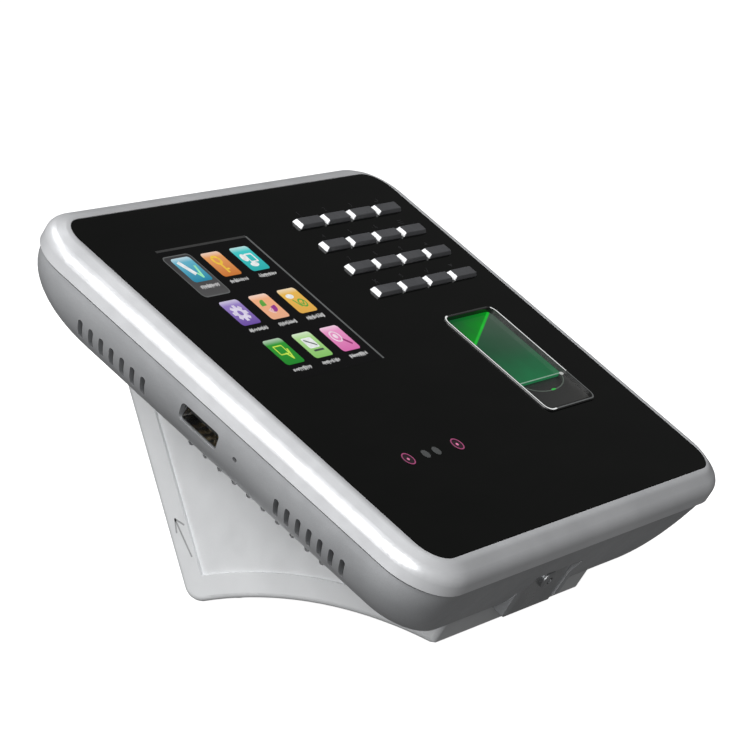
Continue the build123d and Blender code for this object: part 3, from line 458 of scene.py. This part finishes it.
# ---- rows of small blocks, grown by a node tree ------------------------------------------
def block_row_tree():
    """At every point of the mesh, a row of small blocks with a seeded change of length."""
    tree = bpy.data.node_groups.new("block_row", "GeometryNodeTree")
    tree.interface.new_socket("Geometry", in_out="INPUT", socket_type="NodeSocketGeometry")
    tree.interface.new_socket("Geometry", in_out="OUTPUT", socket_type="NodeSocketGeometry")
    for name, kind in (
        ("Count", "NodeSocketInt"), ("Step", "NodeSocketVector"), ("Block size", "NodeSocketVector"),
        ("Least scale", "NodeSocketVector"), ("Seed", "NodeSocketInt"), ("Finish", "NodeSocketMaterial"),
    ):
        tree.interface.new_socket(name, in_out="INPUT", socket_type=kind)
    add, join = tree.nodes.new, tree.links.new
    given, result = add("NodeGroupInput"), add("NodeGroupOutput")
    row, spread, rows, blocks = (
        add("GeometryNodeMeshLine"), add("GeometryNodeInstanceOnPoints"),
        add("GeometryNodeRealizeInstances"), add("GeometryNodeInstanceOnPoints"),
    )
    block, chance = add("GeometryNodeMeshCube"), add("FunctionNodeRandomValue")
    realize, paint = add("GeometryNodeRealizeInstances"), add("GeometryNodeSetMaterial")
    chance.data_type = "FLOAT_VECTOR"
    chance.inputs["Max"].default_value = (1, 1, 1)
    join(given.outputs["Count"], row.inputs["Count"])
    join(given.outputs["Step"], row.inputs["Offset"])
    join(given.outputs["Geometry"], spread.inputs["Points"])
    join(row.outputs["Mesh"], spread.inputs["Instance"])
    join(spread.outputs["Instances"], rows.inputs["Geometry"])
    join(rows.outputs["Geometry"], blocks.inputs["Points"])
    join(given.outputs["Block size"], block.inputs["Size"])
    join(block.outputs["Mesh"], blocks.inputs["Instance"])
    join(given.outputs["Least scale"], chance.inputs["Min"])
    join(given.outputs["Seed"], chance.inputs["Seed"])
    join(chance.outputs["Value"], blocks.inputs["Scale"])
    join(blocks.outputs["Instances"], realize.inputs["Geometry"])
    join(realize.outputs["Geometry"], paint.inputs["Geometry"])
    join(given.outputs["Finish"], paint.inputs["Material"])
    join(paint.outputs["Geometry"], result.inputs["Geometry"])
    return tree


BLOCK_ROW = block_row_tree()


def block_rows(name, starts, slot, **values):
    """Rows of blocks from each starting point, as one named piece."""
    base = bpy.data.meshes.new(name + "_starts")
    base.from_pydata(starts, [], [])
    holder = bpy.data.objects.new(name + "_holder", base)
    bpy.context.scene.collection.objects.link(holder)
    modifier = holder.modifiers.new("rows", "NODES")
    modifier.node_group = BLOCK_ROW
    for item in BLOCK_ROW.interface.items_tree:
        key = item.name.replace(" ", "_")
        if item.in_out == "INPUT" and key in values:
            modifier[item.identifier] = values[key]
    graph = bpy.context.evaluated_depsgraph_get()
    mesh = bpy.data.meshes.new_from_object(holder.evaluated_get(graph))
    bpy.data.objects.remove(holder)
    return placed(name, mesh)


# ---- camera, floor and light -------------------------------------------------------------
CAMERA_PLACE = on_face(-763.5, -301.5, 367.7)
CAMERA_AIM = on_face(-23.3, -6.5, 0.0)
CAMERA_ROLL = radians(1.55)
CAMERA_LENS = 159.9


def camera():
    data = bpy.data.cameras.new("camera")
    data.lens = CAMERA_LENS
    data.sensor_width = 36
    data.clip_start = 0.01
    made = bpy.data.objects.new("camera", data)
    bpy.context.scene.collection.objects.link(made)
    turn = (CAMERA_AIM - CAMERA_PLACE).to_track_quat("-Z", "Y").to_matrix().to_4x4()
    made.matrix_world = Matrix.Translation(CAMERA_PLACE) @ turn @ Matrix.Rotation(CAMERA_ROLL, 4, "Z")
    bpy.context.scene.camera = made


def area_light(name, place, aim, size, power, colour=(1, 1, 1)):
    data = bpy.data.lights.new(name, "AREA")
    data.shape = "RECTANGLE"
    data.size, data.size_y = size
    data.energy = power
    data.color = colour
    made = bpy.data.objects.new(name, data)
    bpy.context.scene.collection.objects.link(made)
    made.location = place
    made.rotation_euler = (Vector(aim) - Vector(place)).to_track_quat("-Z", "Y").to_euler()
    return made


def studio():
    """Plain white floor, dim surroundings, one large window light from the left."""
    floor_mesh = bpy.data.meshes.new("floor")
    builder = bmesh.new()
    bmesh.ops.create_grid(builder, x_segments=8, y_segments=8, size=14)
    builder.to_mesh(floor_mesh)
    builder.free()
    floor = bpy.data.objects.new("floor", floor_mesh)
    bpy.context.scene.collection.objects.link(floor)
    white = Finish("floor_white")
    white.set(Base_Color=(0.9, 0.9, 0.9, 1), Roughness=0.9, Specular_IOR_Level=0.0,
              Emission_Color=(1, 1, 1, 1), Emission_Strength=0.93)
    floor_mesh.materials.append(white.material)
    floor.visible_diffuse = False
    floor.visible_glossy = False
    world = bpy.data.worlds.new("surroundings")
    bpy.context.scene.world = world
    world.use_nodes = True
    world.node_tree.nodes["Background"].inputs["Color"].default_value = (1, 1, 1, 1)
    world.node_tree.nodes["Background"].inputs["Strength"].default_value = 0.12
    area_light("left_window", (-1.5, -0.35, 0.75), (0, 0, 0.05), (1.8, 1.4), 44)
    area_light("top_panel", (-0.25, 0.75, 1.5), (0, 0, 0.05), (1.2, 0.6), 8)
    view = bpy.context.scene.view_settings
    view.view_transform = "Standard"
    view.look = "None"


# ---- display picture ---------------------------------------------------------------------
TILE_X = (-48.3, -34.5, -20.8)
TILE_Y = (43.2, 24.9, 8.6)
TILE_W, TILE_H, TILE_CORNER = 8.7, 9.8, 1.1
TILE_LOW, TILE_HIGH, DRAWING_HIGH = 0.01, 0.04, 0.07
LABEL_DROP = 7.1
DISPLAY_RIGHT, DISPLAY_TOP, DISPLAY_LEFT, DISPLAY_LOW = -12.2, 51.6, -54.6, -1.6


def tile_finish(name, top, low, y):
    """A lit tile that darkens downwards, with a soft gloss across its upper edge."""
    finish = Finish(name)
    place = finish.face_place()
    fall = along(finish, place, (0, 1), y - TILE_H / 2, y + TILE_H / 2)
    colour = finish.blend(fall, low, top)
    gloss = finish.spread(fall, 0.0, 0.55, 0.80, 1.0)
    lit = finish.blend(gloss, colour, (0.9, 0.9, 0.9))
    grain = finish.blend(finish.math("MULTIPLY", finish.noise(700, 3, place), 0.25), lit, low)
    finish.link(grain, finish.shader.inputs["Emission Color"])
    finish.set(Base_Color=(0.01, 0.01, 0.01, 1), Emission_Strength=0.95, Roughness=0.25)
    return finish.material


TILE_COLOURS = (
    (("blue", (0.16, 0.52, 0.66), (0.004, 0.22, 0.36)), ("orange", (0.86, 0.40, 0.14), (0.56, 0.16, 0.02)),
     ("teal", (0.05, 0.62, 0.62), (0.01, 0.40, 0.40))),
    (("violet", (0.36, 0.26, 0.62), (0.13, 0.06, 0.34)), ("peach", (0.90, 0.42, 0.20), (0.80, 0.40, 0.24)),
     ("amber", (0.82, 0.50, 0.08), (0.72, 0.38, 0.06))),
    (("green", (0.02, 0.32, 0.02), (0.0, 0.22, 0.01)), ("lime", (0.48, 0.74, 0.32), (0.22, 0.52, 0.12)),
     ("pink", (0.86, 0.36, 0.62), (0.66, 0.14, 0.40))),
)


def gear(x, y, inner, outer, teeth=8):
    """Outline of a small cog."""
    points = []
    for tooth in range(teeth):
        middle = 2 * pi * tooth / teeth
        for turn, radius in ((-0.42, inner), (-0.24, outer), (0.24, outer), (0.42, inner)):
            angle = middle + turn * 2 * pi / teeth
            points.append((x + radius * cos(angle), y + radius * sin(angle)))
    return points


def drawings():
    """The small drawings on the tiles, one piece a colour: (name, colour, builder)."""
    low, high = TILE_HIGH, DRAWING_HIGH
    made = []

    def pen(name, colour):
        builder = bmesh.new()
        made.append((name, colour, builder))
        return builder

    (x0, x1, x2), (y0, y1, y2) = TILE_X, TILE_Y
    white = pen("white", (0.92, 0.95, 0.95))
    stroke(white, [(x0 - 2.3, y0 + 3.0), (x0 - 0.4, y0 - 1.6)], 1.7, low, high)
    slab(white, ellipse(x2 - 1.9, y0 + 0.6, 1.3, 1.5), low, high)
    band(white, rounded(x2 + 1.0, y0 + 0.2, 3.6, 3.6, 0.4, 2), rounded(x2 + 1.0, y0 + 0.2, 2.6, 2.6, 0.3, 2), low, high)
    slab(white, ellipse(x2 - 0.4, y0 - 2.4, 1.8, 0.9), low, high)
    slab(white, rounded(x1, y2 + 0.8, 4.8, 4.0, 0.5), low, high)
    slab(white, ellipse(x2 - 1.2, y1 + 1.9, 1.7, 0.9), low, high)
    lilac = pen("lilac", (0.78, 0.72, 0.90))
    band(lilac, gear(x0, y1 - 0.2, 2.2, 3.2), ellipse(x0, y1 - 0.2, 1.0, 1.0, 32), low, high)
    mint = pen("mint", (0.35, 0.90, 0.50))
    stroke(mint, [(x0 + 0.6, y0 - 1.8), (x0 + 1.4, y0 - 3.4), (x0 + 2.6, y0 + 1.0)], 0.8, low, high)
    gold = pen("gold", (0.98, 0.62, 0.05))
    band(gold, ellipse(x1 - 0.2, y0 + 1.6, 1.9, 1.9), ellipse(x1 - 0.2, y0 + 1.6, 1.1, 1.1), low, high)
    stroke(gold, [(x1 - 0.2, y0 - 0.2), (x1 - 0.2, y0 - 3.4)], 0.8, low, high)
    stroke(gold, [(x1 - 0.2, y0 - 2.2), (x1 + 1.2, y0 - 2.2)], 0.6, low, high)
    purple = pen("purple", (0.34, 0.03, 0.30))
    slab(purple, [(x1 + 0.5, y1 - 0.2)] + ellipse(x1 + 0.5, y1 - 0.2, 2.2, 2.2, 14, -2.4, 2.6), low, high)
    blush = pen("blush", (0.95, 0.62, 0.55))
    slab(blush, [(x1 + 0.3, y1 - 0.5)] + ellipse(x1 + 0.3, y1 - 0.5, 2.4, 2.4, 14, 3.5, 1.2), low, high)
    leaf = pen("leaf", (0.12, 0.42, 0.05))
    slab(leaf, [(x1 - 0.3, y1 + 0.5)] + ellipse(x1 - 0.3, y1 + 0.5, 2.3, 2.3, 14, 1.4, 1.8), low, high)
    band(leaf, ellipse(x2 + 1.3, y1 - 1.2, 1.7, 1.7), ellipse(x2 + 1.3, y1 - 1.2, 1.2, 1.2), low, high)
    stroke(leaf, [(x2 + 0.6, y1 - 1.2), (x2 + 1.2, y1 - 1.9), (x2 + 2.1, y1 - 0.5)], 0.4, low, high)
    stroke(leaf, [(x2 - 1.6, y1 + 0.4), (x2 - 0.4, y1 - 2.4)], 0.5, low, high)
    yellow = pen("yellow", (0.62, 0.86, 0.08))
    band(yellow, rounded(x0 - 0.4, y2 + 0.6, 4.2, 3.6, 0.3, 2), rounded(x0 - 0.4, y2 + 0.6, 3.4, 2.8, 0.2, 2), low, high)
    stroke(yellow, [(x0 + 0.2, y2 - 0.8), (x0 + 1.2, y2 - 3.0), (x0 + 2.4, y2 + 0.6)], 0.6, low, high)
    slate = pen("slate", (0.05, 0.07, 0.06))
    stroke(slate, [(x1 - 1.6, y2 - 2.2), (x1 + 2.6, y2 - 2.2)], 0.7, low, high)
    stroke(slate, [(x1 - 1.6, y2 + 2.0), (x1 + 1.8, y2 - 0.4)], 0.5, high, high + 0.02)
    rose = pen("rose", (0.98, 0.76, 0.88))
    band(rose, ellipse(x2 - 0.9, y2 + 0.9, 2.2, 2.2), ellipse(x2 - 0.9, y2 + 0.9, 1.7, 1.7), low, high)
    slab(rose, ellipse(x2 - 0.9, y2 + 1.0, 0.9, 0.9), low, high)
    plum = pen("plum", (0.34, 0.03, 0.18))
    stroke(plum, [(x2 + 0.8, y2 - 0.6), (x2 + 2.6, y2 - 2.6)], 0.9, low, high)
    return made


def selected_box():
    """Lighter box round the first tile, fading upwards, with a brighter edge."""
    finish = Finish("selected_box")
    place = finish.face_place()
    fall = along(finish, place, (0, 1), 32.5, 49.2)
    shade = finish.blend(fall, (0.065, 0.065, 0.066), (0.022, 0.022, 0.024))
    grain = finish.blend(finish.math("MULTIPLY", finish.noise(600, 3, place), 0.2), shade, (0.02, 0.02, 0.02))
    finish.link(grain, finish.shader.inputs["Emission Color"])
    finish.set(Base_Color=(0.01, 0.01, 0.01, 1), Emission_Strength=1.0, Roughness=0.3)
    middle = (-48.9, 40.85)
    builder = bmesh.new()
    slab(builder, rounded(*middle, 12.7, 16.7, 1.6), -0.01, 0.0)
    finished("selected_box", builder, finish.material)
    edge = bmesh.new()
    band(edge, rounded(*middle, 12.9, 16.9, 1.7), rounded(*middle, 12.1, 16.1, 1.3), -0.01, 0.005)
    finished("selected_edge", edge, LINE_GREY)


def display():
    """Tiles, their drawings, the label marks and the window's lit edges."""
    for row, y in enumerate(TILE_Y):
        for column, x in enumerate(TILE_X):
            colour, top, low = TILE_COLOURS[row][column]
            builder = bmesh.new()
            slab(builder, rounded(x, y, TILE_W, TILE_H, TILE_CORNER), TILE_LOW, TILE_HIGH)
            name = f"tile_{colour}"
            finished(name, builder, tile_finish(name, top, low, y))
    for name, colour, builder in drawings():
        material = glowing(f"drawing_{name}", colour, 0.9, scale=900)
        finished(f"drawing_{name}", builder, material)
    selected_box()
    edge = bmesh.new()
    ribbon(edge, [(DISPLAY_RIGHT, DISPLAY_LOW), (DISPLAY_RIGHT, DISPLAY_TOP)], 0.8, 0.0, 0.03)
    finished("display_edge_right", edge, LINE_GREY)
    edge = bmesh.new()
    ribbon(edge, [(DISPLAY_LEFT, DISPLAY_TOP), (DISPLAY_RIGHT, DISPLAY_TOP)], 0.8, 0.0, 0.02)
    finished("display_edge_top", edge, LINE_FAINT)
    marks = [(x - 3.9 + half, y - LABEL_DROP + shift, 0.04)
             for x in TILE_X for y in TILE_Y for half, shift in ((0.0, 0.0), (0.45, 0.25))]
    block_rows(
        "label_marks", marks, "display_glass", Count=9, Step=(0.95, 0.0, 0.0),
        Block_size=(0.42, 1.5, 0.04), Least_scale=(0.5, 0.35, 1.0), Seed=7, Finish=LINE_WHITE_SOFT,
    )


LINE_WHITE_SOFT = glowing("label_white", (0.50, 0.50, 0.50), 1.0, scale=900)


# ---- sensor window, small windows and key legends ----------------------------------------
def sensor_lines():
    """Light caught along the sensor window's rim, at the glass edge and round the scoop."""
    half_w, half_h, corner, top = 13.65, 20.6, 2.5, 0.52
    left, right = SENSOR_X - half_w, SENSOR_X + half_w
    high, low = SENSOR_Y + half_h, SENSOR_Y - half_h

    def turn(x, y, start):
        return ellipse(x, y, corner, corner, 8, start, pi / 2)

    lit_left = bmesh.new()
    ribbon(
        lit_left,
        turn(left + corner, high - corner, pi / 2) + turn(left + corner, low + corner, pi)
        + [(left + corner + 1.6, low)],
        0.46, top - 0.04, top,
    )
    finished("rim_light_left", lit_left, LINE_WHITE)
    lit_right = bmesh.new()
    ribbon(
        lit_right,
        [(right, GLASS_LOW - 0.6)] + turn(right - corner, high - corner, 0.0)[:6],
        0.42, top - 0.04, top,
    )
    finished("rim_light_right", lit_right, LINE_WHITE)
    dim = bmesh.new()
    ribbon(
        dim,
        [(left + corner + 1.6, low)] + turn(right - corner, low + corner, -pi / 2) + [(right, GLASS_LOW - 0.6)],
        0.42, top - 0.04, top,
    )
    finished("rim_light_low", dim, LINE_GREY)
    dim = bmesh.new()
    ribbon(dim, [(left + corner, high), (right - corner, high)], 0.36, top - 0.04, top)
    finished("rim_light_top", dim, LINE_FAINT)
    edge = bmesh.new()
    ribbon(edge, [(SENSOR_LEFT + 0.2, GLASS_LOW), (SENSOR_RIGHT - 0.2, GLASS_LOW)], 0.34, -0.5, -0.44)
    finished("glass_edge", edge, LINE_GREEN_WHITE)
    glint = bmesh.new()
    slab(glint, ellipse(SENSOR_RIGHT - 0.9, GLASS_LOW - 0.35, 0.95, 0.6, 20), -0.46, -0.38)
    finished("glass_glint", glint, LINE_GREY_BRIGHT)
    scoop = bmesh.new()
    ribbon(
        scoop, ellipse(SCOOP_X, GLASS_LOW, SCOOP_RX - 0.1, SCOOP_RY - 0.1, 28, -pi, pi), 0.34, -0.52, -0.44
    )
    finished("scoop_edge", scoop, LINE_SCOOP)
    spot = bmesh.new()
    slab(spot, ellipse(SCOOP_X + 0.6, GLASS_LOW - SCOOP_RY + 0.25, 1.3, 0.32, 20), -0.45, -0.40)
    finished("scoop_glint", spot, SPOT_GREEN)


LINE_GREY_BRIGHT = glowing("glint_grey", (0.50, 0.52, 0.50), 1.0)
LINE_SCOOP = glowing("scoop_line", (0.085, 0.105, 0.09), 1.0)

LIGHT_X, WINDOW_ROW_Y = (-46.8, -21.9), -35.8


def infrared_rings():
    """Thin pink ring and a small pink dot in each infrared window."""
    rings, dots = bmesh.new(), bmesh.new()
    for x in LIGHT_X:
        centre = (x, WINDOW_ROW_Y)
        band(rings, ellipse(*centre, 2.15, 2.15, 40), ellipse(*centre, 1.82, 1.82, 40), 0.14, 0.19)
        slab(dots, ellipse(*centre, 0.45, 0.45, 20), 0.04, 0.10)
    finished("ring_lines", rings, RING_PINK)
    finished("ring_dots", dots, DOT_PINK)


KEY_COLUMNS, KEY_ROWS = (20.8, 34.7, 48.6, 62.5), (52.3, 42.0, 31.8, 21.5)
LEGENDS = (("1", "2", "3", "corner"), ("4", "5", "6", "bars"), ("7", "8", "9", "up"), ("cross", "0", "tick", "down"))
LEGEND_LIFT, LEGEND_SIZE = 4.3, 2.3


def digit(character, x, y):
    """A flat digit as a mesh of the face frame."""
    curve = bpy.data.curves.new("digit", "FONT")
    curve.body, curve.size, curve.extrude = character, LEGEND_SIZE, 0.01
    curve.align_x, curve.align_y = "CENTER", "CENTER"
    holder = bpy.data.objects.new("digit", curve)
    mesh = bpy.data.meshes.new_from_object(holder)
    mesh.transform(Matrix.Translation((x, y, 0.01)))
    bpy.data.objects.remove(holder)
    return mesh


def key_legends():
    """Faint digits and plain signs printed above the keys."""
    builder = bmesh.new()
    for row, key_y in enumerate(KEY_ROWS):
        for column, x in enumerate(KEY_COLUMNS):
            sign, y, size = LEGENDS[row][column], key_y + LEGEND_LIFT, LEGEND_SIZE / 2
            if sign.isdigit():
                builder.from_mesh(digit(sign, x, y))
            elif sign == "up":
                slab(builder, [(x - size, y - size / 2), (x + size, y - size / 2), (x, y + size / 2)], 0.0, 0.02)
            elif sign == "down":
                slab(builder, [(x - size, y + size / 2), (x, y - size / 2), (x + size, y + size / 2)], 0.0, 0.02)
            elif sign == "bars":
                for lift in (-0.7, 0.0, 0.7):
                    ribbon(builder, [(x - size, y + lift), (x + size, y + lift)], 0.25, 0.0, 0.02)
            elif sign == "cross":
                stroke(builder, [(x - 0.8, y - 0.8), (x + 0.8, y + 0.8)], 0.3, 0.0, 0.02)
                stroke(builder, [(x - 0.8, y + 0.8), (x + 0.8, y - 0.8)], 0.3, 0.0, 0.02)
            elif sign == "tick":
                stroke(builder, [(x - 1.0, y), (x - 0.2, y - 0.8), (x + 1.1, y + 0.9)], 0.3, 0.0, 0.02)
            else:
                stroke(builder, [(x + 1.0, y + 0.6), (x + 1.0, y - 0.4), (x - 1.0, y - 0.4)], 0.3, 0.0, 0.02)
    finished("key_legends", builder, LEGEND_GREY)


# ---- left side: socket contacts and engraved signs ---------------------------------------
USB_Y, USB_Z, USB_MOUTH = 3.6, -14.9, -79.4
STAND_SIDE = -40.0


def usb_contacts():
    """Four gold strips on the underside of the socket's tongue."""
    block_rows(
        "usb_contacts", [(USB_MOUTH + 6.2, USB_Y - 3.6, USB_Z - 0.22)], "bright_rim", Count=4,
        Step=(0.0, 2.4, 0.0), Block_size=(8.4, 1.1, 0.08), Least_scale=(1.0, 1.0, 1.0), Seed=1, Finish=GOLD,
    )


def stand_arrow():
    """Plain engraved arrow on the rear border of the stand's left side."""
    builder = bmesh.new()
    stroke(builder, [(13.9, -64.0), (4.0, -69.0)], 0.5, -0.03, 0.02)
    stroke(builder, [(10.8, -63.4), (13.9, -64.0), (11.4, -66.8)], 0.5, -0.03, 0.02)
    turn = Matrix.Translation((STAND_SIDE, 0, 0)) @ SIDEWAYS @ Matrix.Scale(-1, 4, (0, 0, 1))
    finished("stand_arrow", builder, ENGRAVED_GREY, turn)


# ---- run ---------------------------------------------------------------------------------
camera()
studio()
display()
sensor_lines()
infrared_rings()
key_legends()
usb_contacts()
stand_arrow()
